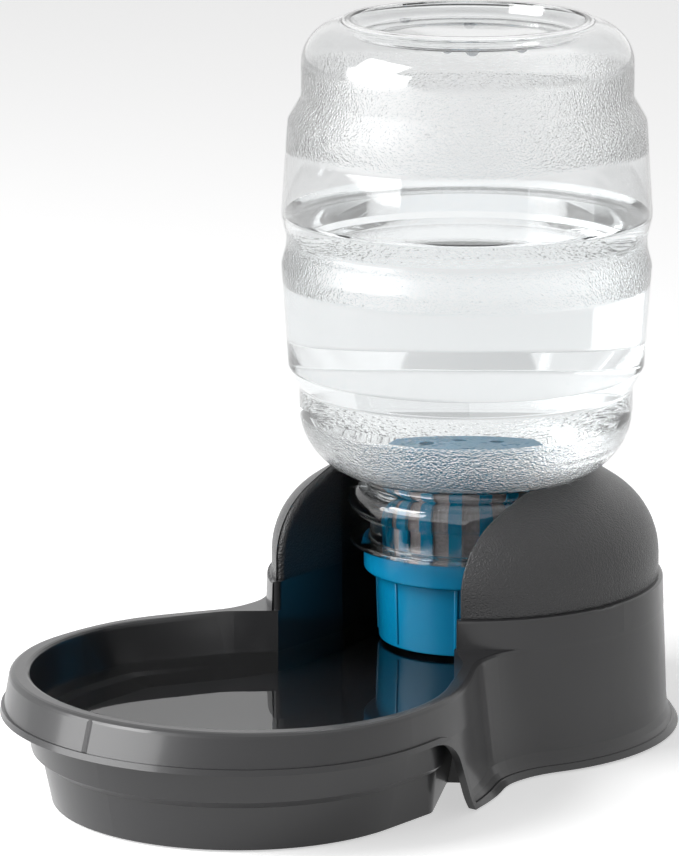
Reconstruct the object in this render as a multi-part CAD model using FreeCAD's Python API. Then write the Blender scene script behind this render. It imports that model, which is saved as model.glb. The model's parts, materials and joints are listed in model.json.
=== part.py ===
"""Gravity pet water dispenser: a moulded base with a bowl and a tower, and an upturned bottle.

All sizes are in millimetres. The model is worked out about the bottle's axis, with the bowl
towards -Y and the floor at z = 0. Each piece is moved by row_shift when it is written, so
that the origin lies under the middle of the whole product.
"""
import FreeCAD
import Part
import math
import os

V = FreeCAD.Vector
ORIGIN = V(0, 0, 0)
UP = V(0, 0, 1)
BACK = V(0, 1, 0)

# Base shell, general
wall = 2.8
shell_bottom_z = 1.0
rim_z = 57.0
rim_round = 2.2

# Bowl lobe of the skirt, measured from the bottle's axis
skirt_front = 254.0
skirt_half_width = 100.6
skirt_widest_y = -164.0
skirt_shoulder = (94.0, -121.0)
skirt_neck = (77.6, -90.5)
lip_height = 2.6
lip_bottom_z = 40.0
lip_front_flare = 5.4
lip_side_flare = 1.6
lip_bead = 1.2

# Waist between the bowl lobe and the tower
waist_x = 71.2
waist_y = -67.0
waist_draft = 4.2
waist_flare = 6.0

# Arch where the skirt stops above the bowl's wall and comes down to a foot
foot_y = -111.0
arch_lean = 0.6
arch_round = 28.0

# Tower and its dome
tower_radius = 90.9
tower_draft = 1.8
flare_z = 15.0
flare_reach = 4.4
ledge_z = 70.2
ledge_round = 1.2
dome_radius = 88.2
dome_straight_z = 80.2
dome_round = 36.5
dome_slope = 0.65
dome_edge_flat = 0.4
collar_radius = 57.5
collar_draft = 1.2
opening_half_width = 51.0
jamb_round = 2.6

# Basin: the bowl, the channel through the tower's opening and the round well behind it
bowl_y = -157.4
bowl_floor_radius = 82.8
bowl_lower_draft = 4.0
step_z = 22.6
step_height = 3.6
step_out = 4.6
bowl_upper_draft = 3.0
basin_rim_half_width = 96.0
basin_rim_front = 248.4
basin_floor = 3.0
turn_y = -127.0
turn_shift = 9.8
turn_round_low = 8.0
turn_round_high = 80.0
bend_low = (60.5, -89.0)
bend_spread = 11.0
bend_round = 24.0
mouth_y = -72.0

# Ribs, bosses and rubber feet under the shell
web_start = (54.0, -90.5)
web_end = (84.0, -69.3)
web_bead_share = 0.42
web_bead_radius = 2.6
rib_thickness = 2.4
rib_bottom_z = 8.0
rib_angles = (35.0, 90.0, 145.0)
boss_radius = 11.0
boss_height = 9.0
foot_radius = 8.0
foot_height = 2.2
front_foot_x = 46.0
front_foot_y = -200.0
rear_foot_reach = 76.0

# Shallow groove down the middle of the skirt's front
groove_width = 3.2
groove_depth = 0.6

# Bottle, upturned: its base is at the top
bottle_wall = 1.3
bottle_top_z = 323.5
base_recess = 5.0
base_recess_round = 2.5
ring_inner_radius = 52.7
ring_outer_radius = 57.3
ring_round = 1.6
shoulder_top_z = 320.2
shoulder_round = 18.5
upper_band_radius = 74.6
upper_band_low_z = 289.5
belly_top_z = 279.0
belly_top_radius = 80.7
belly_radius = 83.6
belly_notch_high_z = 236.5
notch_radius = 81.4
notch_high_z = 226.8
notch_low_z = 221.5
belly_notch_low_z = 213.5
belly_low_z = 167.2
belly_low_radius = 80.6
lower_band_radius = 75.7
lower_band_top_z = 158.0
band_round = 4.0
underside_round = 31.0
neck_radius = 44.4
neck_round = 2.0
bulge_radius = 53.4
bulge_high_z = 112.5
bulge_low_z = 98.5
bulge_round = 6.4
flange_radius = 52.9
flange_z = 84.9
flange_thickness = 2.2
finish_radius = 43.6
neck_end_z = 78.9

# Screw cap with its spout
cap_top_gap = 0.3
cap_side_gap = 0.4
collar_height = 12.6
cap_radius = 46.2
spout_top_radius = 40.3
spout_low_radius = 39.2
spout_wall = 2.0
spout_bottom_z = 39.8
spout_rib_count = 8
spout_rib_angle = 32.7
spout_rib_depth = 0.9
spout_rib_width = 1.8
gasket_thickness = 1.4
gasket_gap = 0.2
gasket_width = 3.6

# Filter basket, its lid and the cartridge inside
basket_radius = 28.0
basket_wall = 2.0
basket_height = 54.7
basket_plate = 2.0
basket_flange_gap = 0.5
basket_slot_count = 14
basket_slot_share = 0.57
basket_slot_angle = 4.25
basket_band_height = 2.2
floor_hole_radius = 4.0
floor_hole_circle = 16.0
floor_hole_count = 8
lid_thickness = 2.2
lid_skirt = 5.0
lid_skirt_wall = 1.6
lid_gap = 0.05
lid_hole_radius = 2.4
cartridge_gap = 0.4
cartridge_round = 2.0

tower_reach = tower_radius + tower_draft + flare_reach
row_shift = V(0, (skirt_front + lip_front_flare - tower_reach) / 2, 0)


def mirrored(edges):
    """Mirror edges across the plane X = 0."""
    return [edge.mirror(ORIGIN, V(1, 0, 0)) for edge in edges]


def closed(edges):
    """Join edges, in any order, into one wire."""
    return Part.Wire(Part.__sortEdges__(edges))


def line(start, end):
    """Straight edge between two points."""
    return Part.LineSegment(start, end).toShape()


def rounded_path(corners):
    """Straight runs joined by tangent arcs, in the plane Y = 0.

    Each corner is (x, z, radius), and a radius of 0 keeps the corner sharp.
    """
    points = [V(corner[0], 0, corner[1]) for corner in corners]
    edges = []
    start = points[0]
    for index in range(1, len(points) - 1):
        corner = points[index]
        radius = corners[index][2]
        if radius > 0:
            back = (points[index - 1] - corner).normalize()
            ahead = (points[index + 1] - corner).normalize()
            half = back.getAngle(ahead) / 2
            first = corner + back * (radius / math.tan(half))
            last = corner + ahead * (radius / math.tan(half))
            middle = corner + (back + ahead).normalize() * (radius / math.sin(half) - radius)
            edges.append(line(start, first))
            edges.append(Part.Arc(first, middle, last).toShape())
            start = last
        else:
            edges.append(line(start, corner))
            start = corner
    edges.append(line(start, points[-1]))
    return edges


def inset(corners, distance):
    """Move a path to its right-hand side by a wall's thickness, with its radii following."""
    result = []
    points = [(corner[0], corner[1]) for corner in corners]
    for index, point in enumerate(points):
        before = points[max(index - 1, 0)]
        after = points[min(index + 1, len(points) - 1)]
        if index == 0:
            before = (2 * point[0] - after[0], 2 * point[1] - after[1])
        if index == len(points) - 1:
            after = (2 * point[0] - before[0], 2 * point[1] - before[1])
        first = V(point[0] - before[0], 0, point[1] - before[1]).normalize()
        second = V(after[0] - point[0], 0, after[1] - point[1]).normalize()
        normal_first = V(first.z, 0, -first.x)
        normal_second = V(second.z, 0, -second.x)
        middle = (normal_first + normal_second).normalize()
        shift = middle * (distance / middle.dot(normal_first))
        left_turn = first.x * second.z - first.z * second.x > 0
        radius = corners[index][2]
        if radius > 0:
            radius = radius + distance if left_turn else max(radius - distance, 0)
        result.append((point[0] + shift.x, point[1] + shift.z, radius))
    return result


def revolved(edges):
    """Turn a closed outline in the plane Y = 0 about the bottle's axis."""
    return Part.Face(closed(edges)).revolve(ORIGIN, UP, 360)


def turned(corners):
    """Solid of revolution under a path that starts and ends on the axis."""
    ends = line(V(corners[-1][0], 0, corners[-1][1]), V(corners[0][0], 0, corners[0][1]))
    return revolved(rounded_path(corners) + [ends])


def cone(low_radius, high_radius, low, high):
    """Round bar about the bottle's axis, tapered where its radii differ."""
    return turned([(0, low, 0), (low_radius, low, 0), (high_radius, high, 0), (0, high, 0)])


def block(x_half, y_low, y_high, z_low, z_high):
    """Box that is symmetric across X = 0."""
    return Part.makeBox(2 * x_half, y_high - y_low, z_high - z_low, V(-x_half, y_low, z_low))


def plate(start, end, thickness, low, high):
    """Upright plate between two places in plan."""
    length = math.hypot(end[0] - start[0], end[1] - start[1])
    body = Part.makeBox(length, thickness, high - low, V(0, -thickness / 2, low))
    body.rotate(ORIGIN, UP, math.degrees(math.atan2(end[1] - start[1], end[0] - start[0])))
    body.translate(V(start[0], start[1], 0))
    return body


def at_angle(shape, degrees):
    """Copy of a shape turned about the bottle's axis."""
    copy = shape.copy()
    copy.rotate(ORIGIN, UP, degrees)
    return copy


def in_plan(edges, z):
    """Lay edges drawn in the plane Y = 0 down flat at one height."""
    result = []
    for edge in edges:
        flat = edge.copy()
        flat.rotate(ORIGIN, V(1, 0, 0), -90)
        flat.translate(UP * z)
        result.append(flat)
    return result


def quarter(front, half_width, widest_y, z):
    """Quarter of an ellipse from the front centre to the widest point on the right."""
    depth = front + widest_y
    centre = V(0, widest_y, z)
    if half_width >= depth:
        ellipse = Part.Ellipse(centre + V(half_width, 0, 0), centre + V(0, depth, 0), centre)
        return Part.ArcOfEllipse(ellipse, -math.pi / 2, 0).toShape()
    ellipse = Part.Ellipse(centre + V(0, depth, 0), centre - V(half_width, 0, 0), centre)
    return Part.ArcOfEllipse(ellipse, math.pi, 3 * math.pi / 2).toShape()


def side_curve(points, z, last_direction):
    """Smooth curve through points, which leaves the first one straight towards the rear."""
    curve = Part.BSplineCurve()
    places = [V(x, y, z) for x, y in points]
    curve.interpolate(Points=places, InitialTangent=BACK, FinalTangent=last_direction)
    return curve.toShape()


def skirt_outline(z, bowl, front, waist, tower):
    """Plan outline of the skirt at one height, grown at its bowl, front, waist and tower."""
    half_width = skirt_half_width + bowl
    shoulder = (skirt_shoulder[0] + bowl * 0.9, skirt_shoulder[1] + bowl * 0.4)
    neck = (skirt_neck[0] + waist * 0.9, skirt_neck[1] + waist * 0.4)
    narrow = waist_x + waist
    radius = tower_radius + tower
    hollow = (narrow ** 2 + waist_y ** 2 - radius ** 2) / (2 * (radius - narrow))
    centre = V(narrow + hollow, waist_y, z)
    touch = V(centre.x, centre.y, 0) * (radius / (radius + hollow)) + V(0, 0, z)
    start = V(narrow, waist_y, z)
    between = ((start - centre).normalize() + (touch - centre).normalize()).normalize()
    angle = (math.atan2(touch.y, touch.x) + math.pi / 2) / 2
    beside = V(radius * math.cos(angle), radius * math.sin(angle), z)
    points = [(half_width, skirt_widest_y), shoulder, neck, (narrow, waist_y)]
    right = [
        quarter(skirt_front + front, half_width, skirt_widest_y, z),
        side_curve(points, z, BACK),
        Part.Arc(start, centre + between * hollow, touch).toShape(),
        Part.Arc(touch, beside, V(0, radius, z)).toShape(),
    ]
    return closed(right + mirrored(right))


def basin_outline(z, front, half_width, inward):
    """Plan outline of the bowl's wall at one height, moved inward, as far as the tower's mouth."""
    share = (z - shell_bottom_z) / (rim_z - shell_bottom_z)
    turn_round = turn_round_low + (turn_round_high - turn_round_low) * share ** 1.7
    mouth = opening_half_width + wall
    corners = [
        (half_width, bowl_y, 0),
        (half_width, turn_y - turn_shift * share, turn_round),
        (bend_low[0] + bend_spread * share, bend_low[1] + wall * share, bend_round),
        (mouth, mouth_y, 0),
    ]
    corners = inset(corners, -inward)
    corners[0] = (half_width - inward, bowl_y, 0)
    corners[-1] = (mouth - inward, mouth_y, 0)
    right = [quarter(front - inward, half_width - inward, bowl_y, z)] + in_plan(rounded_path(corners), z)
    across = line(V(mouth - inward, mouth_y, z), V(inward - mouth, mouth_y, z))
    return closed(right + mirrored(right) + [across])


def loft(wires):
    """Solid through plan outlines, from the lowest to the highest."""
    return Part.makeLoft(wires, True, True)


def skirt_growth(z):
    """How far the skirt stands out from its upper outline at one height: bowl, front, waist, tower."""
    fall = min((rim_z - z) / (rim_z - lip_bottom_z), 1)
    share = min((rim_z - z) / (rim_z - flare_z), 1)
    curl = max(0, (flare_z - z) / (flare_z - shell_bottom_z)) ** 2.5
    waist = waist_draft * share + waist_flare * curl
    tower = tower_draft * share + flare_reach * curl
    return [lip_side_flare * fall, lip_front_flare * fall, waist, tower]


def skirt_block(outward, high_z):
    """Skirt, waist and lower tower as one block, grown outward or, below zero, inward."""
    levels = [shell_bottom_z + (flare_z - shell_bottom_z) * share for share in (0, 0.15, 0.35, 0.6, 1)]
    levels += [lip_bottom_z, lip_bottom_z + (rim_z - lip_bottom_z) * 0.4]
    wires = [skirt_outline(z, *[growth + outward for growth in skirt_growth(z)]) for z in levels]
    if outward < 0:
        wires.append(skirt_outline(high_z, outward, outward, outward, outward))
        return loft(wires)
    for degrees in (0, 30, 60, 90):
        angle = math.radians(degrees)
        z = high_z - rim_round * (1 - math.sin(angle))
        grown = outward - rim_round * (1 - math.cos(angle))
        growth = skirt_growth(z)
        wires.append(skirt_outline(z, growth[0] + grown, growth[1] + grown, growth[2] + grown, outward))
    return loft(wires)


def dome_path(inward):
    """Outline of the tower above the rim, from the axis out and up to the collar."""
    rise = dome_round * math.tan((math.pi / 2 - math.atan(dome_slope)) / 2)
    corner_z = dome_straight_z + rise
    drop = inward * math.sqrt(1 + dome_slope ** 2)
    top_radius = collar_radius + dome_edge_flat
    top_z = corner_z + dome_slope * (dome_radius - top_radius)
    low_z = rim_z if inward == 0 else rim_z - 2 * wall
    path = [(0, low_z, 0), (tower_radius - inward, low_z, 0)]
    if inward == 0:
        path += [(tower_radius - 0.5, ledge_z, ledge_round), (dome_radius + 0.2, ledge_z, 0)]
    else:
        path += [(dome_radius - inward, ledge_z - inward, 0)]
    corner_drop = inward * (math.sqrt(1 + dome_slope ** 2) - dome_slope)
    path.append((dome_radius - inward, corner_z - corner_drop, dome_round - inward))
    path.append((top_radius, top_z - drop, 0))
    path.append((0, top_z - drop, 0))
    return path


def dome_top_z():
    """Height of the dome's upper edge, on which the bottle rests."""
    return dome_path(0)[-1][1]


def under_lip(rise):
    """Block below the skirt's lower edge, back to the arch and along the floor, raised by rise."""
    far = skirt_front * 2
    low = -far
    lean = math.hypot(1, arch_lean)
    foot = foot_y + rise * lean
    high = lip_bottom_z + rise
    floor = shell_bottom_z + rise
    path = [
        (-far, high, 0),
        (foot - arch_lean * high, high, arch_round - rise),
        (foot - arch_lean * floor, floor, 0),
        (far, floor, 0),
    ]
    edges = rounded_path(path)
    edges.append(line(V(far, 0, floor), V(far, 0, low)))
    edges.append(line(V(far, 0, low), V(-far, 0, low)))
    edges.append(line(V(-far, 0, low), V(-far, 0, high)))
    face = Part.Face(closed(edges))
    face.rotate(ORIGIN, UP, 90)
    face.translate(V(-far, 0, 0))
    return face.extrude(V(2 * far, 0, 0))


def make_bead():
    """Bead along the whole lower edge of the skirt, up and over the arch."""
    band = under_lip(lip_height).cut(under_lip(0))
    ring = skirt_block(lip_bead, rim_z).cut(skirt_block(-wall / 2, rim_z))
    return ring.common(band)


def make_groove():
    """Shallow groove down the middle of the skirt's front, with its sharp edge inwards."""
    wires = []
    for z in (shell_bottom_z, rim_z):
        front = -skirt_front - lip_front_flare * (rim_z - z) / (rim_z - lip_bottom_z)
        half = groove_width / 2
        out = front - groove_width
        corners = [V(0, front + groove_depth, z), V(half, front, z), V(half, out, z), V(-half, out, z)]
        corners += [V(-half, front, z), V(0, front + groove_depth, z)]
        wires.append(Part.makePolygon(corners))
    return loft(wires)


def bowl_block(inward):
    """The bowl's wall as a solid; inward gives the space inside it."""
    floor_z = shell_bottom_z if inward == 0 else shell_bottom_z + basin_floor
    levels = [
        (floor_z, 0),
        (step_z - step_height / 2, bowl_lower_draft),
        (step_z + step_height / 2, bowl_lower_draft + step_out),
        (lip_bottom_z, bowl_lower_draft + step_out + bowl_upper_draft),
    ]
    wires = []
    for z, grow in levels:
        radius = bowl_floor_radius + grow
        wires.append(basin_outline(z, radius - bowl_y, radius, inward))
    front = basin_rim_front + wall
    half_width = basin_rim_half_width + wall
    if inward == 0:
        wires.append(basin_outline(rim_z, front, half_width, 0))
        return loft(wires)
    for degrees in (0, 30, 60, 90):
        angle = math.radians(degrees)
        out = rim_round * (1 - math.cos(angle))
        z = rim_z - rim_round * (1 - math.sin(angle))
        wires.append(basin_outline(z, front - rim_round + out, half_width - rim_round + out, inward))
    return loft(wires)


def well_block(outward, low_z, high_z):
    """Round well and the channel from it to the bowl's mouth."""
    high_radius = collar_radius + outward
    low_radius = high_radius - collar_draft
    round_part = cone(low_radius, high_radius, low_z, high_z)
    half_width = opening_half_width + outward
    return round_part.fuse(block(half_width, mouth_y - 0.01, 0, low_z, high_z))


def rear_foot_place(side):
    """Centre of a rear foot, on one of the side ribs."""
    angle = math.radians(rib_angles[0])
    return V(side * rear_foot_reach * math.cos(angle), rear_foot_reach * math.sin(angle), 0)


def front_foot_place(side):
    """Centre of a front foot, under the bowl."""
    return V(side * front_foot_x, front_foot_y, 0)


def jamb_rounding():
    """What the rounding takes off the outer edges of the tower's opening, on both sides."""
    corner_z = dome_path(0)[-3][1]
    apex_z = corner_z + dome_slope * dome_radius
    smooth = [(0, shell_bottom_z, 0), (dome_radius, shell_bottom_z, 0)]
    smooth += [(dome_radius, corner_z, dome_round), (0, apex_z, 0)]
    tower = cone(tower_radius, tower_radius - 0.5, shell_bottom_z, ledge_z)
    cutters = []
    for body, low, high in ((tower, rim_z, ledge_z), (turned(smooth), ledge_z, apex_z)):
        reach = 2 * tower_radius
        beside = Part.makeBox(reach, reach, apex_z, V(opening_half_width, -reach, 0))
        side = body.common(beside)
        edges = []
        for edge in side.Edges:
            box = edge.BoundBox
            if abs(box.XMax - opening_half_width) < 0.001 and box.ZLength > 1 and box.YMin < -jamb_round:
                edges.append(edge)
        slab = Part.makeBox(jamb_round, reach, high - low, V(opening_half_width, -reach, low))
        cutter = slab.cut(side.makeFillet(jamb_round, edges))
        cutters += [cutter, cutter.mirror(ORIGIN, V(1, 0, 0))]
    return cutters


def make_stiffeners(envelope):
    """Ribs round the well, webs that close the waist and bosses for the rear feet."""
    top = dome_top_z()
    pieces = []
    for angle in rib_angles:
        rib = plate((collar_radius, 0), (tower_reach, 0), rib_thickness, rib_bottom_z, top)
        pieces.append(at_angle(rib, angle))
    for side in (-1, 1):
        start = (side * web_start[0], web_start[1])
        end = (side * web_end[0], web_end[1])
        pieces.append(plate(start, end, rib_thickness, shell_bottom_z, rim_z))
        x = start[0] + (end[0] - start[0]) * web_bead_share
        y = start[1] + (end[1] - start[1]) * web_bead_share
        pieces.append(Part.makeCylinder(web_bead_radius, rim_z - rib_bottom_z, V(x, y, rib_bottom_z)))
        pieces.append(Part.makeCylinder(boss_radius, boss_height, rear_foot_place(side) + UP * shell_bottom_z))
    return [piece.common(envelope) for piece in pieces]


def make_base():
    """Moulded base in one piece: skirt, bowl, well, tower and the ribs under them."""
    dome = turned(dome_path(0))
    top = dome_top_z()
    envelope = skirt_block(0, rim_z).fuse(dome)
    hollow = skirt_block(-wall, rim_z - wall).fuse(turned(dome_path(wall)))
    shell = envelope.cut(hollow).cut(under_lip(0)).cut(make_groove()).fuse(make_bead())
    lower_well = well_block(wall, shell_bottom_z, rim_z)
    upper_well = well_block(wall, rim_z - 1, top)
    front_wall = block(opening_half_width + wall, -tower_reach, mouth_y, rim_z - wall, top)
    upper_well = upper_well.fuse(front_wall).common(dome)
    bowl = bowl_block(0).common(envelope)
    solid = shell.multiFuse([bowl, lower_well, upper_well] + make_stiffeners(envelope))
    floor_z = shell_bottom_z + basin_floor
    room = bowl_block(wall).fuse(well_block(0, floor_z, rim_z))
    above = cone(collar_radius, collar_radius, rim_z, top + 1)
    gate = block(opening_half_width, -tower_reach - 1, 0, rim_z, top + 1)
    solid = solid.cut(room.multiFuse([above, gate]))
    sockets = []
    for side in (-1, 1):
        for place in (front_foot_place(side), rear_foot_place(side)):
            sockets.append(Part.makeCylinder(foot_radius, foot_height, place))
    return solid.cut(sockets + jamb_rounding())


def underside_z():
    """Height of the bottle's underside, whose rounding lies on the dome's edge."""
    reach = collar_radius - (lower_band_radius - underside_round)
    return dome_top_z() - underside_round + math.sqrt(underside_round ** 2 - reach ** 2)


def bottle_path():
    """Outline of the bottle from the middle of its base down to the end of its neck."""
    return [
        (0, bottle_top_z - base_recess, 0),
        (ring_inner_radius - base_recess_round, bottle_top_z - base_recess, base_recess_round),
        (ring_inner_radius, bottle_top_z, ring_round),
        (ring_outer_radius, bottle_top_z, ring_round),
        (ring_outer_radius + ring_round, shoulder_top_z, ring_round),
        (upper_band_radius, shoulder_top_z - ring_round, shoulder_round - ring_round),
        (upper_band_radius, upper_band_low_z, band_round),
        (belly_top_radius, belly_top_z, band_round),
        (belly_radius, belly_notch_high_z, band_round),
        (notch_radius, notch_high_z, band_round),
        (notch_radius, notch_low_z, band_round),
        (belly_radius, belly_notch_low_z, band_round),
        (belly_low_radius, belly_low_z, band_round),
        (lower_band_radius, lower_band_top_z, band_round),
        (lower_band_radius, underside_z(), underside_round),
        (neck_radius, underside_z(), neck_round * 0.8),
        (neck_radius, bulge_high_z, neck_round),
        (bulge_radius, bulge_high_z, bulge_round),
        (bulge_radius, bulge_low_z, bulge_round),
        (finish_radius, bulge_low_z, neck_round),
        (finish_radius, neck_end_z, 0),
    ]


def make_bottle():
    """Blown bottle with its neck down, and the flange that the cap closes against."""
    outer = bottle_path()
    inner = inset(outer, bottle_wall)
    outer_end = V(outer[-1][0], 0, outer[-1][1])
    inner_end = V(inner[-1][0], 0, inner[-1][1])
    axis = line(V(0, 0, outer[0][1]), V(0, 0, inner[0][1]))
    edges = rounded_path(outer) + rounded_path(inner) + [axis, line(outer_end, inner_end)]
    shell = revolved(edges)
    flange = Part.makeCylinder(flange_radius, flange_thickness, UP * flange_z)
    edge_list = [edge for edge in flange.Edges if edge.Closed]
    flange = flange.makeFillet(flange_thickness * 0.4, edge_list)
    bore = Part.makeCylinder(finish_radius - bottle_wall / 2, flange_thickness * 2, UP * (flange_z - 1))
    return shell.fuse(flange.cut(bore))


def cap_top_z():
    """Upper edge of the cap, just below the neck's flange."""
    return flange_z - cap_top_gap


def basket_plate_top_z():
    """Upper face of the basket's plate, which carries the gasket."""
    return neck_end_z - gasket_gap - gasket_thickness


def cap_ledge_z():
    """Ledge inside the cap, on which the basket's plate lies."""
    return basket_plate_top_z() - basket_plate


def make_cap():
    """Screw cap: a collar round the neck, a ledge inside it and a ribbed spout below."""
    high = cap_top_z()
    low = high - collar_height
    ledge = cap_ledge_z()
    inner = finish_radius + cap_side_gap
    bore = spout_top_radius - spout_wall
    corners = [
        (inner, high, 0),
        (cap_radius, high, 0.8),
        (cap_radius, low, 1.6),
        (spout_top_radius, low, 0.8),
        (spout_low_radius, spout_bottom_z, 0.7),
        (spout_low_radius - spout_wall, spout_bottom_z, 0.7),
        (bore, low, 1.0),
        (bore, ledge, 0),
        (inner, ledge, 0),
        (inner, high - 0.5, 0),
    ]
    body = revolved(rounded_path(corners) + [line(V(inner, 0, high - 0.5), V(inner, 0, high))])
    rib_low = spout_bottom_z + 2
    rib_profile = cone(spout_low_radius + spout_rib_depth, spout_top_radius + spout_rib_depth, rib_low, low)
    core = cone(spout_low_radius - 0.5, spout_top_radius - 0.5, rib_low, low)
    rib_ring = rib_profile.cut(core)
    ribs = []
    for index in range(spout_rib_count):
        slab = Part.makeBox(cap_radius, spout_rib_width, low - rib_low, V(0, -spout_rib_width / 2, rib_low))
        ribs.append(at_angle(slab, spout_rib_angle + 360 / spout_rib_count * index).common(rib_ring))
    return body.multiFuse(ribs)


def make_gasket():
    """Flat sealing ring between the neck's end and the basket's plate."""
    outer = finish_radius
    low = basket_plate_top_z()
    disc = Part.makeCylinder(outer, gasket_thickness, UP * low)
    return disc.cut(Part.makeCylinder(outer - gasket_width, gasket_thickness, UP * low))


def hole_circle(radius, circle, count, low, height):
    """Round holes on a circle about the bottle's axis, with one in the middle."""
    holes = [Part.makeCylinder(radius, height, UP * low)]
    for index in range(count):
        hole = Part.makeCylinder(radius, height, V(circle, 0, low))
        holes.append(at_angle(hole, 360 / count * index))
    return holes[0].multiFuse(holes[1:])


def make_basket():
    """Slotted cup that stands up inside the neck, with a plate that lies on the cap's ledge."""
    low = cap_ledge_z()
    plate_top = basket_plate_top_z()
    plate_radius = finish_radius - basket_flange_gap
    plate = Part.makeCylinder(plate_radius, basket_plate, UP * low)
    plate = plate.cut(hole_circle(floor_hole_radius, floor_hole_circle, floor_hole_count, low, basket_plate))
    tube = Part.makeCylinder(basket_radius, basket_height, UP * plate_top)
    tube = tube.cut(Part.makeCylinder(basket_radius - basket_wall, basket_height, UP * plate_top))
    width = 2 * math.pi * basket_radius / basket_slot_count * basket_slot_share
    length = basket_height - 2 * basket_band_height
    slot = Part.makeBox(basket_radius, width, length, V(basket_radius / 2, -width / 2, plate_top + basket_band_height))
    slots = [at_angle(slot, basket_slot_angle + 360 / basket_slot_count * index) for index in range(basket_slot_count)]
    tube = tube.cut(Part.makeCompound(slots))
    return plate.fuse(tube).removeSplitter()


def make_lid():
    """Plug lid of the basket, with holes for the water."""
    low = basket_plate_top_z() + basket_height
    disc = Part.makeCylinder(basket_radius, lid_thickness, UP * low)
    disc = disc.makeFillet(0.8, [edge for edge in disc.Edges if edge.Closed and edge.CenterOfMass.z > low + 1])
    skirt_radius = basket_radius - basket_wall - lid_gap
    skirt = Part.makeCylinder(skirt_radius, lid_skirt, UP * (low - lid_skirt))
    skirt = skirt.cut(Part.makeCylinder(skirt_radius - lid_skirt_wall, lid_skirt, UP * (low - lid_skirt)))
    holes = hole_circle(lid_hole_radius, floor_hole_circle, floor_hole_count, low, lid_thickness)
    return disc.fuse(skirt).cut(holes)


def make_cartridge():
    """Filter cartridge: a plain pressed cylinder that fills the basket."""
    low = basket_plate_top_z()
    height = basket_height - lid_skirt - cartridge_gap
    body = Part.makeCylinder(basket_radius - basket_wall - cartridge_gap, height, UP * low)
    return body.makeFillet(cartridge_round, [edge for edge in body.Edges if edge.Closed])


def make_foot(place):
    """Rubber foot in its socket, the only part that touches the floor."""
    body = Part.makeCylinder(foot_radius, foot_height, place)
    low_edges = [edge for edge in body.Edges if edge.Closed and edge.CenterOfMass.z < foot_height / 2]
    return body.makeFillet(0.6, low_edges)


def export(name, shape):
    """Move a piece from the bottle's axis to the product's middle and write it."""
    shape = shape.copy()
    shape.translate(row_shift)
    shape.exportStep("parts/" + name + ".step")


def main():
    """Build every piece and write one file each."""
    os.makedirs("parts", exist_ok=True)
    export("base_body", make_base())
    export("bottle", make_bottle())
    export("bottle_cap", make_cap())
    export("cap_gasket", make_gasket())
    export("filter_basket", make_basket())
    export("basket_lid", make_lid())
    export("filter_cartridge", make_cartridge())
    export("foot_front_left", make_foot(front_foot_place(-1)))
    export("foot_front_right", make_foot(front_foot_place(1)))
    export("foot_rear_left", make_foot(rear_foot_place(-1)))
    export("foot_rear_right", make_foot(rear_foot_place(1)))


if __name__ == "__main__":
    main()
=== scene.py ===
"""Looks of a gravity pet water dispenser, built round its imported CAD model.

The moulded base, its feet, the filter basket with its lid and cartridge, and the seal keep their
CAD shapes and get their finishes here. The clear bottle, the water, the droplets and the blue cap
are built in this file.
"""

import json
import logging
import math
from dataclasses import dataclass, field
from enum import Enum
from typing import Sequence

import bmesh
import bpy
from bmesh.types import BMesh, BMFace
from bpy.types import Material, Node, NodeSocket, Object
from mathutils import Matrix, Vector


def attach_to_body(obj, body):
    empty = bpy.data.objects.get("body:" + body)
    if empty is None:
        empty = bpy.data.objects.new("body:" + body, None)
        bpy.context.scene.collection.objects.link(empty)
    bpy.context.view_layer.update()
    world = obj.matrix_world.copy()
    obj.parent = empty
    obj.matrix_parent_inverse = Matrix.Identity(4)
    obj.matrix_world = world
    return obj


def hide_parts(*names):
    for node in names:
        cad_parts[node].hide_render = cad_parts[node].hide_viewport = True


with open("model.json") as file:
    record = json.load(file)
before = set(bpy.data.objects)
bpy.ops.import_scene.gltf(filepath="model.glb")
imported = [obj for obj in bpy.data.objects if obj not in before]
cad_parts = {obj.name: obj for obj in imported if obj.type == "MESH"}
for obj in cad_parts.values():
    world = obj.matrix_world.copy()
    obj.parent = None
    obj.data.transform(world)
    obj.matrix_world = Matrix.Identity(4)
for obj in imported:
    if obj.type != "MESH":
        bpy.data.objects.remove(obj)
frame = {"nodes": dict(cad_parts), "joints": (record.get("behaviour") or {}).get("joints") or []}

log = logging.getLogger("dispenser")

Colour = tuple[float, float, float]
Corner = tuple[float, float, float]

AXIS = Vector(next(j["pos_m"] for j in frame["joints"] if j["name"] == "cap_turn")).to_2d().to_3d()
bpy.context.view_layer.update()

PLASTIC_IOR = 1.49
WATER_IOR = 1.333
SOAKED_IOR = 1.13  # Plastic measured against the water that it stands in.
WELD = 0.002  # Millimetres. Points nearer than this become one.
CAD_WELD = 0.003  # Millimetres. The same for a copy of a CAD piece.


class Body(Enum):
    """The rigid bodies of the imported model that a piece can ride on."""

    BASE = "base"
    FILTER = "filter"
    CAP = "cap"


class Slot(Enum):
    """The record's material slots for the bottle and the cap."""

    BOTTLE = "clear_bottle"
    CAP = "cap_plastic"


def mm(value: float) -> float:
    """Millimetres as metres."""
    return value / 1000


def linear(red: int, green: int, blue: int) -> Colour:
    """Turn a screen colour from 0 to 255 into the linear colour that shaders use.

    Args:
        red: red part on the screen.
        green: green part on the screen.
        blue: blue part on the screen.

    Returns:
        The three linear parts.
    """
    parts = [part / 255 for part in (red, green, blue)]
    return tuple(p / 12.92 if p <= 0.04045 else ((p + 0.055) / 1.055) ** 2.4 for p in parts)


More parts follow.
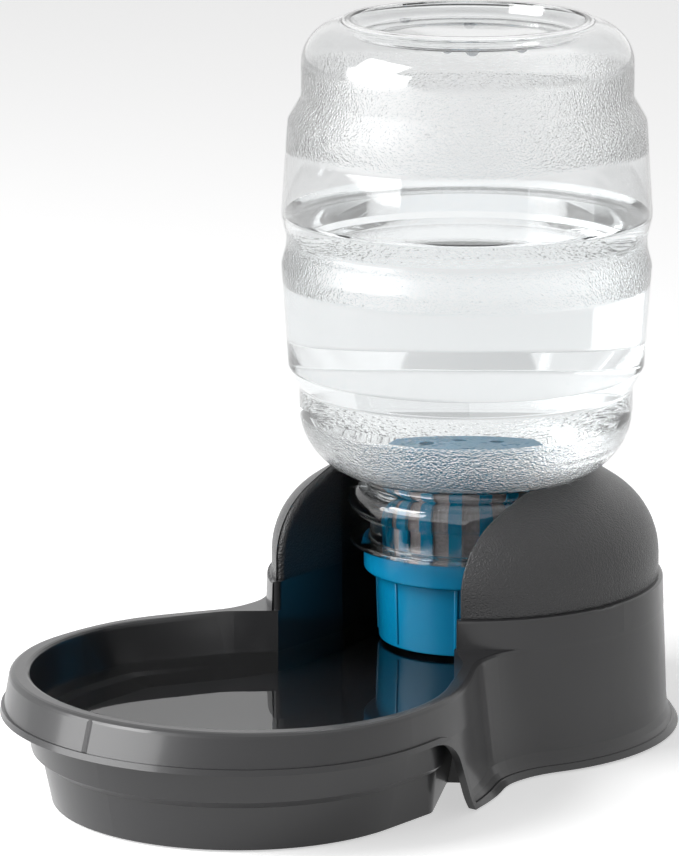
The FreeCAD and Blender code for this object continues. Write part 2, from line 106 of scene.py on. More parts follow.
class Tree:
    """A shader node tree that is filled one named step at a time."""

    def __init__(self, owner: Material | bpy.types.ShaderNodeTree) -> None:
        """Start from an empty tree.

        Args:
            owner: the material or node group that holds the tree.
        """
        self.tree = owner.node_tree if isinstance(owner, Material) else owner
        self.tree.nodes.clear()

    def add(self, kind: str, inputs: dict[str | int, object] | None = None, **settings: object) -> Node:
        """Add a node, set its properties and fill or link its inputs.

        Args:
            kind: the node's type name without the word ShaderNode.
            inputs: socket names or numbers, each with a value or a socket to link from.
            settings: properties of the node itself.

        Returns:
            The new node.
        """
        node = self.tree.nodes.new("ShaderNode" + kind)
        for name, value in settings.items():
            setattr(node, name, value)
        for name, value in (inputs or {}).items():
            if isinstance(value, NodeSocket):
                self.tree.links.new(value, node.inputs[name])
            else:
                node.inputs[name].default_value = value
        return node

    def link(self, source: NodeSocket, node: Node, *names: str) -> None:
        """Link one socket to inputs of a node.

        Args:
            source: the socket to link from.
            node: the node to link to.
            names: the names of its inputs.
        """
        for name in names:
            self.tree.links.new(source, node.inputs[name])

    def math(self, operation: str, first: object, second: object = 0.0, clamp: bool = False) -> NodeSocket:
        """Join two numbers by one arithmetic step.

        Args:
            operation: the Math node's operation.
            first: a number or a socket.
            second: a number or a socket.
            clamp: keep the result between 0 and 1.

        Returns:
            The result's socket.
        """
        return self.add("Math", {0: first, 1: second}, operation=operation, use_clamp=clamp).outputs[0]

    def ramp(
        self, value: NodeSocket, low: float, high: float, start: float = 0.0, end: float = 1.0
    ) -> NodeSocket:
        """Map a span of a value smoothly onto another span.

        Args:
            value: the socket to read.
            low: value that gives start.
            high: value that gives end.
            start: result at low and below.
            end: result at high and above.

        Returns:
            The mapped value's socket.
        """
        fields = {"Value": value, "From Min": low, "From Max": high, "To Min": start, "To Max": end}
        node = self.add("MapRange", fields, interpolation_type="SMOOTHSTEP")
        return node.outputs["Result"]

    def mix(self, share: object, first: object, second: object) -> NodeSocket:
        """Mix two colours.

        Args:
            share: how much of the second colour, a number or a socket.
            first: colour or socket.
            second: colour or socket.

        Returns:
            The mixed colour's socket.
        """
        node = self.add("Mix", data_type="RGBA")
        for index, value in ((0, share), (6, first), (7, second)):
            if isinstance(value, NodeSocket):
                self.tree.links.new(value, node.inputs[index])
            elif index == 0:
                node.inputs[index].default_value = value
            else:
                node.inputs[index].default_value = (*value, 1.0)
        return node.outputs[2]

    def place(self) -> NodeSocket:
        """Object coordinates, moved so that the bottle's axis is the origin."""
        coordinates = self.add("TexCoord").outputs["Object"]
        return self.add("Mapping", {"Vector": coordinates, "Location": -AXIS}).outputs["Vector"]

    def band(self, height: NodeSocket, low: float, high: float, soft: float) -> NodeSocket:
        """Mask of a level zone between two heights.

        Args:
            height: socket with the height in metres.
            low: lower edge in millimetres.
            high: upper edge in millimetres.
            soft: width of each edge's fade in millimetres.

        Returns:
            A socket that is 1 in the zone and 0 outside it.
        """
        rising = self.ramp(height, mm(low - soft), mm(low + soft))
        falling = self.ramp(height, mm(high - soft), mm(high + soft), 1.0, 0.0)
        return self.math("MULTIPLY", rising, falling)


def new_material(name: str) -> tuple[Material, Tree]:
    """Make a material with an empty node tree.

    Args:
        name: the material's name.

    Returns:
        The material and its tree.
    """
    material = bpy.data.materials.new(name)
    material.use_nodes = True
    return material, Tree(material)


class Effect:
    """A shader node group that several materials share."""

    built: dict[str, bpy.types.ShaderNodeTree] = {}

    @classmethod
    def start(cls, name: str, takes: dict[str, str], gives: dict[str, str]) -> tuple[Tree, Node, Node]:
        """Make an empty group with named sockets.

        Args:
            name: the group's name.
            takes: input names with their socket types.
            gives: output names with their socket types.

        Returns:
            The tree, its input node and its output node.
        """
        group = bpy.data.node_groups.new(name, "ShaderNodeTree")
        tree = Tree(group)
        for label, kind in takes.items():
            group.interface.new_socket(name=label, in_out="INPUT", socket_type="NodeSocket" + kind)
        for label, kind in gives.items():
            group.interface.new_socket(name=label, in_out="OUTPUT", socket_type="NodeSocket" + kind)
        entry = group.nodes.new("NodeGroupInput")
        leave = group.nodes.new("NodeGroupOutput")
        cls.built[name] = group
        return tree, entry, leave

    @classmethod
    def place(cls, tree: Tree, name: str, inputs: dict[str, object]) -> Node:
        """Put a built group into a material.

        Args:
            tree: the material's tree.
            name: the group's name.
            inputs: values or sockets for its inputs.

        Returns:
            The group node.
        """
        return tree.add("Group", inputs, node_tree=cls.built[name])


def build_mould_grain() -> None:
    """Group for the leather-like grain that the mould leaves in a plastic surface, with a mask of its pits
    for painted shade.
    """
    takes = {"Place": "Vector", "Scale": "Float", "Mask": "Float"}
    tree, entry, leave = Effect.start("mould_grain", takes, {"Height": "Float", "PitShade": "Float"})
    place, scale, mask = (entry.outputs[label] for label in takes)
    warp = tree.add("TexNoise", {"Vector": place, "Scale": scale, "Detail": 2.0})
    bent = tree.add("VectorMath", {0: warp.outputs["Color"], "Scale": 0.0006}, operation="SCALE")
    moved = tree.add("VectorMath", {0: place, 1: bent.outputs["Vector"]}, operation="ADD")
    cells = tree.add("TexVoronoi", {"Vector": moved.outputs["Vector"], "Scale": scale}, feature="SMOOTH_F1")
    fine = tree.add("TexNoise", {"Vector": place, "Scale": tree.math("MULTIPLY", scale, 1.7), "Detail": 3.0})
    pebble = tree.ramp(cells.outputs["Distance"], 0.1, 0.75, 1.0, 0.0)
    speckle = tree.math("MULTIPLY", fine.outputs["Fac"], 0.6)
    mixed = tree.math("ADD", tree.math("MULTIPLY", pebble, 0.7), speckle)
    tree.link(tree.math("MULTIPLY", mixed, mask), leave, "Height")
    # Painted shade mask: 1 in the low places between the pebbles, 0 on their tops.
    tree.link(tree.math("MULTIPLY", tree.ramp(mixed, 0.55, 0.9, 1.0, 0.0), mask), leave, "PitShade")


def build_handling() -> None:
    """Group for slight handling marks and flow marks that vary a plastic's gloss and shade."""
    takes = {"Place": "Vector", "Scale": "Float", "Amount": "Float"}
    tree, entry, leave = Effect.start("handling", takes, {"Gloss": "Float", "Shade": "Float"})
    place, scale, amount = (entry.outputs[label] for label in takes)
    broad = tree.add("TexNoise", {"Vector": place, "Scale": scale, "Detail": 4.0, "Roughness": 0.55})
    fine = tree.add("TexNoise", {"Vector": place, "Scale": tree.math("MULTIPLY", scale, 14.0), "Detail": 2.0})
    centred = tree.math("SUBTRACT", broad.outputs["Fac"], 0.5)
    speckle = tree.math("MULTIPLY", tree.math("SUBTRACT", fine.outputs["Fac"], 0.5), 0.5)
    rough = tree.math("ADD", centred, speckle)
    tree.link(tree.math("MULTIPLY", rough, amount), leave, "Gloss")
    shade = tree.math("ADD", tree.math("MULTIPLY", centred, amount), 0.5)
    tree.link(shade, leave, "Shade")


def build_ripple() -> None:
    """Group for the small waves that blow moulding and hammered zones leave in clear plastic."""
    takes = {"Place": "Vector", "Scale": "Float", "Mask": "Float"}
    tree, entry, leave = Effect.start("ripple", takes, {"Height": "Float"})
    place, scale, mask = (entry.outputs[label] for label in takes)
    flat = tree.add("Mapping", {"Vector": place, "Scale": (1.0, 1.0, 1.3)}).outputs["Vector"]
    waves = tree.add("TexNoise", {"Vector": flat, "Scale": scale, "Detail": 1.5, "Distortion": 0.4})
    tree.link(tree.math("MULTIPLY", waves.outputs["Fac"], mask), leave, "Height")


@dataclass(frozen=True)
class Plastic:
    """Opaque moulded plastic with flow marks, and grain between two heights where it has any, its pits
    darkened by painted shade.
    """

    name: str
    colour: Colour
    light: Colour
    roughness: float
    specular: float = 0.5
    coat: float = 0.0
    grain_scale: float = 900.0
    grain_low: float = 0.0
    grain_high: float = 0.0
    grain_depth: float = 0.0
    grain_roughness: float = 0.0

    def build(self) -> Material:
        """Make the material."""
        material, tree = new_material(self.name)
        place = tree.place()
        marks = Effect.place(tree, "handling", {"Place": place, "Scale": 14.0, "Amount": 0.5})
        colour = tree.mix(marks.outputs["Shade"], self.colour, self.light)
        rough = tree.math("MULTIPLY_ADD", marks.outputs["Gloss"], 0.12)
        rough.node.inputs[2].default_value = self.roughness
        shader = tree.add(
            "BsdfPrincipled",
            {"Specular IOR Level": self.specular, "Coat Weight": self.coat, "Coat Roughness": 0.14},
        )
        if self.grain_depth > 0:
            height = tree.add("SeparateXYZ", {0: place}).outputs["Z"]
            zone = tree.band(height, self.grain_low, self.grain_high, 0.6)
            takes = {"Place": place, "Scale": self.grain_scale, "Mask": zone}
            grain = Effect.place(tree, "mould_grain", takes).outputs
            relief = {"Height": grain["Height"], "Strength": 0.55, "Distance": mm(self.grain_depth)}
            bump = tree.add("Bump", relief)
            # Painted shade: the grain's pits are darkened towards the darker base colour.
            colour = tree.mix(tree.math("MULTIPLY", grain["PitShade"], 0.35), colour, self.colour)
            rough = tree.math("ADD", rough, tree.math("MULTIPLY", zone, self.grain_roughness))
            tree.link(bump.outputs["Normal"], shader, "Normal", "Coat Normal")
        tree.link(colour, shader, "Base Color")
        tree.link(rough, shader, "Roughness")
        tree.add("OutputMaterial", {"Surface": shader.outputs[0]})
        return material


@dataclass(frozen=True)
class TintedPlastic:
    """Blue plastic that lets a little light through."""

    name: str
    colour: Colour
    light: Colour
    roughness: float
    ior: float = PLASTIC_IOR

    def build(self) -> Material:
        """Make the material."""
        material, tree = new_material(self.name)
        place = tree.place()
        marks = Effect.place(tree, "handling", {"Place": place, "Scale": 30.0, "Amount": 0.8})
        colour = tree.mix(marks.outputs["Shade"], self.colour, self.light)
        rough = tree.math("MULTIPLY_ADD", marks.outputs["Gloss"], 0.1)
        rough.node.inputs[2].default_value = self.roughness
        shader = tree.add(
            "BsdfPrincipled",
            {
                "Base Color": colour,
                "Roughness": rough,
                "IOR": self.ior,
                "Subsurface Weight": 0.15,
                "Subsurface Scale": mm(3),
            },
        )
        tree.add("OutputMaterial", {"Surface": shader.outputs[0]})
        return material


@dataclass(frozen=True)
class ClearPlastic:
    """Clear blown plastic with hammered zones."""

    name: str = "clear_blown_plastic"
    tint: Colour = (0.955, 0.962, 0.964)
    roughness: float = 0.02
    zones: tuple[tuple[float, float, float], ...] = ((268, 303, 3.0), (206, 224, 1.5), (121, 143.5, 1.2))
    wave_scale: float = 950.0
    depth: float = 1.0
    swell: float = 0.5

    def build(self) -> Material:
        """Make the material."""
        material, tree = new_material(self.name)
        place = tree.place()
        height = tree.add("SeparateXYZ", {0: place}).outputs["Z"]
        zone: NodeSocket | float = 0.0
        for low, high, soft in self.zones:
            zone = tree.math("ADD", zone, tree.band(height, low, high, soft), clamp=True)
        takes = {"Place": place, "Scale": self.wave_scale, "Mask": zone}
        ripple = Effect.place(tree, "ripple", takes)
        slow = tree.add("TexNoise", {"Vector": place, "Scale": 22.0, "Detail": 1.0})
        swell = tree.math("MULTIPLY", slow.outputs["Fac"], self.swell)
        total = tree.math("ADD", ripple.outputs["Height"], swell)
        bump = tree.add("Bump", {"Height": total, "Strength": 0.5, "Distance": mm(self.depth)})
        shader = tree.add(
            "BsdfPrincipled",
            {
                "Base Color": (*self.tint, 1.0),
                "Roughness": self.roughness,
                "IOR": PLASTIC_IOR,
                "Transmission Weight": 1.0,
                "Normal": bump.outputs["Normal"],
            },
        )
        tree.add("OutputMaterial", {"Surface": shader.outputs[0]})
        return material


@dataclass(frozen=True)
class Water:
    """Clear water, with a hardly visible slow swell; a grey tint gives the droplets painted shade."""

    name: str = "water"
    tint: Colour = (0.97, 0.985, 0.99)

    def build(self) -> Material:
        """Make the material."""
        material, tree = new_material(self.name)
        swell = tree.add("TexNoise", {"Vector": tree.place(), "Scale": 9.0, "Detail": 1.0})
        bump = tree.add("Bump", {"Height": swell.outputs["Fac"], "Strength": 0.12, "Distance": mm(0.4)})
        shader = tree.add(
            "BsdfPrincipled",
            {
                "Base Color": (*self.tint, 1.0),
                "Roughness": 0.0,
                "IOR": WATER_IOR,
                "Transmission Weight": 1.0,
                "Normal": bump.outputs["Normal"],
            },
        )
        tree.add("OutputMaterial", {"Surface": shader.outputs[0]})
        return material


@dataclass(frozen=True)
class PressedFibre:
    """Matte grey-brown filter fibre with loose strands."""

    name: str = "pressed_fibre"
    dark: Colour = linear(112, 105, 104)
    light: Colour = linear(176, 168, 168)

    def build(self) -> Material:
        """Make the material."""
        material, tree = new_material(self.name)
        place = tree.place()
        strands = tree.add("TexNoise", {"Vector": place, "Scale": 420.0, "Detail": 5.0, "Distortion": 1.5})
        colour = tree.mix(strands.outputs["Fac"], self.dark, self.light)
        bump = tree.add("Bump", {"Height": strands.outputs["Fac"], "Strength": 0.8, "Distance": mm(0.4)})
        fields = {"Base Color": colour, "Roughness": 0.95, "IOR": SOAKED_IOR}
        shader = tree.add("BsdfPrincipled", {**fields, "Normal": bump.outputs["Normal"]})
        tree.add("OutputMaterial", {"Surface": shader.outputs[0]})
        return material


class Finishes:
    """Every finish on the dispenser, built once."""

    def __init__(self) -> None:
        """Build the shared effects and then the materials."""
        build_mould_grain()
        build_handling()
        build_ripple()
        self.shell = Plastic(
            name="charcoal_shell",
            colour=linear(24, 24, 26),
            light=linear(31, 31, 33),
            roughness=0.38,
            coat=0.45,
            grain_scale=1300.0,
            grain_low=70.8,
            grain_high=130.0,
            grain_depth=0.6,
            grain_roughness=0.12,
        ).build()
        self.rubber = Plastic("foot_rubber", linear(28, 28, 28), linear(40, 40, 40), 0.75, 0.3).build()
        self.seal = Plastic("seal_rubber", linear(205, 205, 200), linear(222, 222, 216), 0.6, 0.3).build()
        self.cap = TintedPlastic("blue_cap", linear(0, 108, 150), linear(0, 128, 170), 0.3).build()
        teal = linear(0, 118, 158), linear(8, 138, 176)
        self.basket = TintedPlastic("blue_basket", *teal, 0.28, ior=SOAKED_IOR).build()
        self.bottle = ClearPlastic().build()
        self.water = Water().build()
        # Painted shade: the droplets' water is tinted grey so that they show dark under the bottle's upper
        # face.
        self.shaded_droplet_water = Water("shaded_droplet_water", linear(168, 171, 174)).build()
        self.fibre = PressedFibre().build()


def finish_mesh(bm: BMesh, name: str, material: Material, smooth_degrees: float = 30.0) -> Object:
    """Turn a bmesh into an object at the origin with smooth faces and sharp edges kept.

    Args:
        bm: the shape, which is freed.
        name: the piece's name.
        material: its finish.
        smooth_degrees: edges bent by more than this stay sharp.

    Returns:
        The new object.
    """
    bmesh.ops.remove_doubles(bm, verts=bm.verts, dist=mm(WELD))
    bmesh.ops.recalc_face_normals(bm, faces=bm.faces)
    for face in bm.faces:
        face.smooth = True
    for edge in bm.edges:
        edge.smooth = edge.calc_face_angle(0.0) < math.radians(smooth_degrees)
    mesh = bpy.data.meshes.new(name)
    bm.to_mesh(mesh)
    bm.free()
    mesh.materials.append(material)
    piece = bpy.data.objects.new(name, mesh)
    bpy.context.scene.collection.objects.link(piece)
    return piece


def polyline(corners: Sequence[Corner], arc_steps: int) -> BMesh:
    """Draw an outline beside the bottle's axis and round its corners.

    Args:
        corners: radius, height and rounding of each corner in millimetres.
        arc_steps: straight runs in each rounding.

    Returns:
        A bmesh of a chain of edges in the plane of X and Z through the axis.
    """
    bm = bmesh.new()
    points = [Vector((mm(radius), 0.0, mm(height))) for radius, height, _ in corners]
    verts = [bm.verts.new(point) for point in points]
    for first, second in zip(verts, verts[1:]):
        bm.edges.new((first, second))
    for index in range(1, len(corners) - 1):
        rounding = mm(corners[index][2])
        if rounding <= 0:
            continue
        half = (points[index - 1] - points[index]).angle(points[index + 1] - points[index]) / 2
        bmesh.ops.bevel(
            bm,
            geom=[verts[index]],
            offset=rounding / math.tan(half),
            offset_type="OFFSET",
            segments=arc_steps,
            profile=0.5,
            affect="VERTICES",
            material=-1,
        )
    return bm


def offset_corners(corners: Sequence[Corner], distance: float) -> list[Corner]:
    """Move an outline sideways by a wall's thickness, with its roundings following.

    Args:
        corners: radius, height and rounding of each corner in millimetres, from the top down.
        distance: how far the outline moves towards the axis.

    Returns:
        The corners of the inner outline, in the same order.
    """
    points = [Vector(corner[:2]) for corner in corners]
    runs = [(after - before).normalized() for before, after in zip(points, points[1:])]
    moved: list[Corner] = []
    for index, (point, corner) in enumerate(zip(points, corners)):
        before = runs[max(index - 1, 0)]
        after = runs[min(index, len(runs) - 1)]
        sides = [Vector((run.y, -run.x)) for run in (before, after)]
        middle = (sides[0] + sides[1]).normalized()
        place = point + middle * (distance / middle.dot(sides[0]))
        grow = distance if before.cross(after) > 0 else -distance
        rounding = max(corner[2] + grow, 0.0) if corner[2] > 0 else 0.0
        moved.append((place.x, place.y, rounding))
    return moved


def spin_round(bm: BMesh, steps: int) -> None:
    """Turn an outline all the way round the bottle's axis.

    Args:
        bm: the outline, which becomes the turned skin.
        steps: number of steps in a full turn.
    """
    bmesh.ops.spin(
        bm,
        geom=[*bm.verts, *bm.edges],
        cent=(0, 0, 0),
        axis=(0, 0, 1),
        dvec=(0, 0, 0),
        angle=2 * math.pi,
        steps=steps,
        use_merge=True,
        use_duplicate=False,
    )
    bmesh.ops.translate(bm, vec=AXIS, verts=bm.verts)


def turned(
    corners: Sequence[Corner], name: str, material: Material, steps: int = 144, arc_steps: int = 8
) -> Object:
    """Make a turned piece from its outline.

    Args:
        corners: radius, height and rounding of each corner in millimetres.
        name: the piece's name.
        material: its finish.
        steps: number of steps round the axis.
        arc_steps: straight runs in each rounding.

    Returns:
        The new piece.
    """
    bm = polyline(corners, arc_steps)
    spin_round(bm, steps)
    return finish_mesh(bm, name, material, 60.0)


def attach(piece: Object, body: Body, replaces: str | None = None) -> Object:
    """Let a piece ride on its body and hide the CAD node that it stands for.

    Args:
        piece: the finished piece.
        body: the body that it moves with.
        replaces: the CAD node that it stands for, where there is one.

    Returns:
        The same piece.
    """
    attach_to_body(piece, body.value)
    if replaces is not None:
        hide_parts(replaces)
    log.info("%s rides on %s with %d faces", piece.name, body.value, len(piece.data.polygons))
    return piece


def dress(node: str, material: Material) -> None:
    """Give a CAD node its finish.

    Args:
        node: the node's name.
        material: its finish.
    """
    piece = frame["nodes"][node]
    piece.data.materials.clear()
    piece.data.materials.append(material)
    log.info("%s keeps its CAD shape", node)


@dataclass
class Base:
    """The moulded base with its feet and the water that stands in it."""

    finishes: Finishes
    water_level: float = 38.0
    floor_probe: Vector = field(default_factory=lambda: Vector((0.0, -0.1, 0.0)))
    seat: float = 0.25

    def build(self) -> None:
        """Dress the shell and the feet, and fill the bowl."""
        dress("base_body", self.finishes.shell)
        for node in ("foot_front_left", "foot_front_right", "foot_rear_left", "foot_rear_right"):
            dress(node, self.finishes.rubber)
        attach(self.bowl_water(), Body.BASE)

    def bowl_water(self) -> Object:
        """Fill the bowl, the channel and the well up to the water level.

        The basin's own inner faces below the level are taken from a copy of the shell, so the
        water has exactly the basin's shape, and its sides are sunk a little into the plastic.

        Returns:
            The water as a closed piece.
        """
        bm = bmesh.new()
        bm.from_mesh(frame["nodes"]["base_body"].data)
        bmesh.ops.remove_doubles(bm, verts=bm.verts, dist=mm(CAD_WELD))
        level = mm(self.water_level)
        bmesh.ops.bisect_plane(
            bm,
            geom=[*bm.verts, *bm.edges, *bm.faces],
            plane_co=(0, 0, level),
            plane_no=(0, 0, 1),
            clear_outer=True,
        )
        start = min(
            (face for face in bm.faces if face.normal.z > 0.99),
            key=lambda face: (face.calc_center_median() - self.floor_probe).length,
        )
        wet: set[BMFace] = {start}
        edge_of_flood = [start]
        while edge_of_flood:
            face = edge_of_flood.pop()
            for edge in face.edges:
                for near in edge.link_faces:
                    if near not in wet:
                        wet.add(near)
                        edge_of_flood.append(near)
        bmesh.ops.delete(bm, geom=[face for face in bm.faces if face not in wet], context="FACES")
        bm.normal_update()
        for vert in bm.verts:
            vert.co -= vert.normal * mm(self.seat)
        for vert in bm.verts:
            if vert.is_boundary:
                vert.co.z = level
        bmesh.ops.reverse_faces(bm, faces=bm.faces)
        rim = [edge for edge in bm.edges if edge.is_boundary]
        bmesh.ops.triangle_fill(bm, edges=rim, use_beauty=True, normal=(0, 0, 1))
        return finish_mesh(bm, "bowl_water", self.finishes.water, 25.0)


@dataclass
class Bottle:
    """The upturned blown bottle and the water and droplets inside it."""

    finishes: Finishes
    wall: float = 1.3
    overlap: float = 0.2
    water_level: float = 236.0
    cling_start: float = 78.6
    cling_end: float = 82.2
    cling_rise: float = 1.6
    first_wet_corner: int = 9
    skin: tuple[Corner, ...] = (
        (0.0, 318.5, 0.0),
        (50.2, 318.5, 2.5),
        (52.7, 324.6, 1.2),
        (56.2, 324.6, 1.2),
        (57.6, 322.9, 1.4),
        (74.6, 319.9, 17.6),
        (74.6, 289.5, 4.0),
        (80.7, 279.0, 4.0),
        (83.6, 236.5, 4.0),
        (81.4, 226.8, 4.0),
        (81.4, 221.5, 4.0),
        (83.6, 213.5, 4.0),
        (80.6, 167.2, 4.0),
        (75.7, 158.0, 4.0),
        (75.7, 116.94, 31.0),
        (44.4, 116.94, 1.6),
        (44.4, 112.5, 2.0),
        (53.4, 112.5, 6.4),
        (53.4, 98.5, 6.4),
        (43.6, 98.5, 2.0),
        (43.6, 78.9, 0.0),
    )
    flange: tuple[Corner, ...] = (
        (43.6, 87.1, 0.5),
        (52.9, 87.1, 0.8),
        (52.9, 84.9, 0.8),
        (43.6, 84.9, 0.3),
    )
    droplets: tuple[Corner, ...] = (
        (0.6, -36.6, 2.0),
        (17.0, -36.0, 2.3),
        (27.2, -31.2, 3.2),
        (21.7, -9.9, 2.4),
        (39.5, -11.8, 2.6),
        (33.1, 1.4, 1.8),
        (-46.4, 12.8, 2.6),
        (-14.2, 19.2, 2.7),
        (-33.7, -21.9, 1.9),
    )
    droplet_sag: float = 0.9
    droplet_seat: float = 0.2

    def build(self) -> None:
        """Build the skin, the water and the droplets."""
        attach(self.blown_skin(), Body.BASE, "bottle")
        attach(self.stored_water(), Body.BASE)
        attach(self.hanging_droplets(), Body.BASE)

    def blown_skin(self) -> Object:
        """Turn the outer face, the flange and the inner face of the wall as one closed skin."""
        inner = offset_corners(self.skin, self.wall)
        inner[0] = (0.0, inner[0][1], 0.0)
        outline = [*self.skin[:-1], *self.flange, self.skin[-1], *reversed(inner)]
        return turned(outline, "bottle_skin", self.finishes.bottle, 192, 10)

    def stored_water(self) -> Object:
        """Water inside the bottle, with the small upturned edge that clings to the wall."""
        corners = [(0.0, self.water_level, 0.0), (self.cling_start, self.water_level, 1.5)]
        corners.append((self.cling_end, self.water_level + self.cling_rise, 0.0))
        corners += offset_corners(self.skin, self.wall - self.overlap)[self.first_wet_corner :]
        corners.append((0.0, self.skin[-1][1], 0.0))
        return turned(corners, "bottle_water", self.finishes.water, 144, 8)

    def hanging_droplets(self) -> Object:
        """Droplets that hang under the bottle's upper face, in grey-tinted water that paints their shade."""
        bm = bmesh.new()
        ceiling = self.skin[0][1] - self.wall
        for x, y, radius in self.droplets:
            ball = bmesh.ops.create_uvsphere(bm, u_segments=20, v_segments=12, radius=mm(radius))["verts"]
            for vert in ball:
                share = self.droplet_sag if vert.co.z < 0 else self.droplet_seat / radius
                vert.co.z *= share
            bmesh.ops.translate(bm, verts=ball, vec=AXIS + Vector((mm(x), mm(y), mm(ceiling))))
        return finish_mesh(bm, "bottle_droplets", self.finishes.shaded_droplet_water, 80.0)


@dataclass
class Cap:
    """The screw cap: a collar round the neck, a ledge inside it and a ribbed spout below."""

    finishes: Finishes
    outline: tuple[Corner, ...] = (
        (44.0, 80.0, 0.0),
        (44.0, 84.6, 0.3),
        (46.2, 84.6, 0.8),
        (46.2, 72.0, 1.6),
        (40.3, 72.0, 0.8),
        (39.2, 39.8, 0.7),
        (37.2, 39.8, 0.7),
        (38.3, 72.0, 1.0),
        (38.3, 75.3, 0.2),
        (44.0, 75.3, 0.2),
        (44.0, 80.0, 0.0),
    )
    rib_count: int = 8
    first_rib: float = 32.7
    rib_width: float = 1.8
    rib_depth: float = 0.9
    rib_bottom: float = 41.8
    rib_bevel: float = 0.5
    rib_root: float = 0.6
    rib_overlap: float = 0.5

    def build(self) -> None:
        """Turn the body, add the ribs and join them in one piece."""
        bm = polyline(self.outline, 6)
        spin_round(bm, 144)
        for index in range(self.rib_count):
            self.add_rib(bm, math.radians(self.first_rib + 360 / self.rib_count * index))
        attach(finish_mesh(bm, "screw_cap", self.finishes.cap, 40.0), Body.CAP, "bottle_cap")

    def add_rib(self, bm: BMesh, angle: float) -> None:
        """Add one upright rib with rounded edges to the spout.

        Args:
            bm: the cap's mesh.
            angle: where the rib stands round the spout, in radians.
        """
        top, low = self.outline[4], self.outline[5]
        rib = bmesh.ops.create_cube(bm, size=1.0)["verts"]
        edges = {edge for vert in rib for edge in vert.link_edges}
        outer = [edge for edge in edges if all(end.co.x > 0 for end in edge.verts)]
        for vert in rib:
            at_top = vert.co.z > 0
            height = top[1] + self.rib_overlap if at_top else self.rib_bottom
            reach = (top if at_top else low)[0] + (self.rib_depth if vert.co.x > 0 else -self.rib_root)
            side = math.copysign(self.rib_width / 2, vert.co.y)
            vert.co = Vector((mm(reach), mm(side), mm(height)))
        made = bmesh.ops.bevel(
            bm, geom=outer, offset=mm(self.rib_bevel), segments=3, profile=0.5, affect="EDGES"
        )
        whole = list({*(vert for vert in rib if vert.is_valid), *made["verts"]})
        turn = Matrix.Rotation(angle, 3, "Z")
        bmesh.ops.rotate(bm, verts=whole, cent=(0, 0, 0), matrix=turn)
        bmesh.ops.translate(bm, verts=whole, vec=AXIS)


@dataclass
class FilterUnit:
    """The cap with its spout, and the basket, lid, cartridge and seal that it carries."""

    finishes: Finishes

    def build(self) -> None:
        """Build the cap and dress every other piece of the filter."""
        Cap(self.finishes).build()
        dress("filter_basket", self.finishes.basket)
        dress("basket_lid", self.finishes.basket)
        dress("filter_cartridge", self.finishes.fibre)
        dress("cap_gasket", self.finishes.seal)


@dataclass(frozen=True)
class Lamp:
    """A soft rectangular lamp that points at the object."""

    name: str
    place: tuple[float, float, float]
    size: tuple[float, float]
    power: float

    def build(self) -> None:
        """Add the lamp to the scene."""
        data = bpy.data.lights.new(self.name, "AREA")
        data.shape = "RECTANGLE"
        data.size, data.size_y = self.size
        data.energy = self.power
        lamp = bpy.data.objects.new(self.name, data)
        lamp.location = self.place
        aim = Vector((0.0, 0.0, 0.1)) - Vector(self.place)
        lamp.rotation_euler = aim.to_track_quat("-Z", "Y").to_euler()
        bpy.context.scene.collection.objects.link(lamp)


def background_rays(tree: Tree, through: float = 1.0) -> NodeSocket:
    """Mask of the rays that see the white background.

    Args:
        tree: the material's or the world's tree.
        through: weight of the rays that glass and shiny faces send on, where the camera's is 1.

    Returns:
        A socket between 0 and 1.
    """
    rays = tree.add("LightPath").outputs
    sent_on = tree.math("MAXIMUM", rays["Is Glossy Ray"], rays["Is Transmission Ray"])
    return tree.math("MAXIMUM", rays["Is Camera Ray"], tree.math("MULTIPLY", sent_on, through))


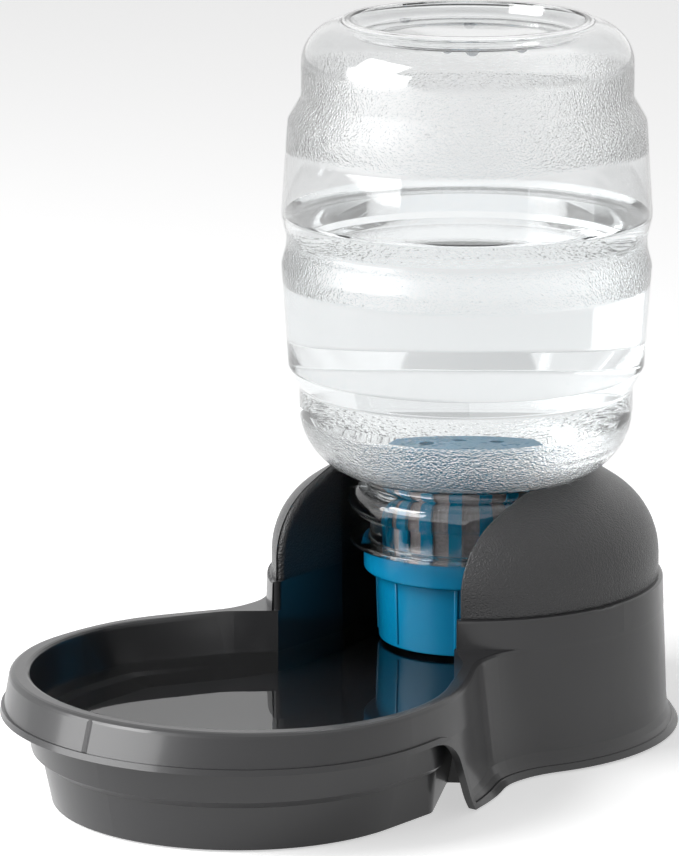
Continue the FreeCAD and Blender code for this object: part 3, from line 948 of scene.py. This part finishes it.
@dataclass
class Studio:
    """Pale floor, white surroundings, soft lamps and the camera of the photograph."""

    camera_place: Vector = field(default_factory=lambda: Vector((1.4289, -1.73165, 0.6729)))
    camera_turn: tuple[float, float] = (90 - 13.08, 39.67)
    lens: float = 219.2
    floor_half_width: float = 8.0
    floor_glow: float = 0.55
    floor_glow_through: float = 0.8
    ambient: float = 0.2
    lamps: tuple[Lamp, ...] = (
        Lamp("key_lamp", (-0.8, -1.25, 1.35), (1.1, 0.8), 31.0),
        Lamp("low_lamp", (-0.95, -1.75, 0.6), (2.0, 1.0), 34.0),
        Lamp("top_lamp", (0.1, 0.3, 2.2), (1.4, 1.4), 2.0),
    )

    def build(self) -> None:
        """Build the whole studio."""
        self.floor()
        self.world()
        for lamp in self.lamps:
            lamp.build()
        self.camera()
        bpy.context.scene.view_settings.view_transform = "Standard"

    def floor(self) -> None:
        """A large pale sheet under the object."""
        bm = bmesh.new()
        bmesh.ops.create_grid(bm, x_segments=1, y_segments=1, size=self.floor_half_width)
        material, tree = new_material("studio_floor")
        rays = background_rays(tree, self.floor_glow_through)
        shader = tree.add(
            "BsdfPrincipled",
            {
                "Base Color": (0.8, 0.8, 0.8, 1.0),
                "Roughness": 0.9,
                "Specular IOR Level": 0.1,
                "Emission Color": (1.0, 1.0, 1.0, 1.0),
                "Emission Strength": tree.math("MULTIPLY", rays, self.floor_glow),
            },
        )
        tree.add("OutputMaterial", {"Surface": shader.outputs[0]})
        sheet = finish_mesh(bm, "floor", material)

    def world(self) -> None:
        """White surroundings that light the object softly."""
        world = bpy.data.worlds.new("studio_world")
        bpy.context.scene.world = world
        world.use_nodes = True
        tree = Tree(world.node_tree)
        fields = {"Value": background_rays(tree), "To Min": self.ambient, "To Max": 1.0}
        strength = tree.add("MapRange", fields).outputs["Result"]
        light = tree.add("Background", {"Color": (1.0, 1.0, 1.0, 1.0), "Strength": strength})
        tree.add("OutputWorld", {"Surface": light.outputs[0]})

    def camera(self) -> None:
        """The camera that was fitted to the photograph."""
        data = bpy.data.cameras.new("photo_camera")
        data.lens = self.lens
        camera = bpy.data.objects.new("photo_camera", data)
        camera.location = self.camera_place
        tilt, turn = self.camera_turn
        camera.rotation_euler = (math.radians(tilt), 0.0, math.radians(turn))
        bpy.context.scene.collection.objects.link(camera)
        bpy.context.scene.camera = camera


def main() -> None:
    """Build every part in order."""
    logging.basicConfig(level=logging.INFO, format="%(message)s")
    finishes = Finishes()
    Base(finishes).build()
    Bottle(finishes).build()
    FilterUnit(finishes).build()
    Studio().build()


if __name__ == "__main__":
    main()
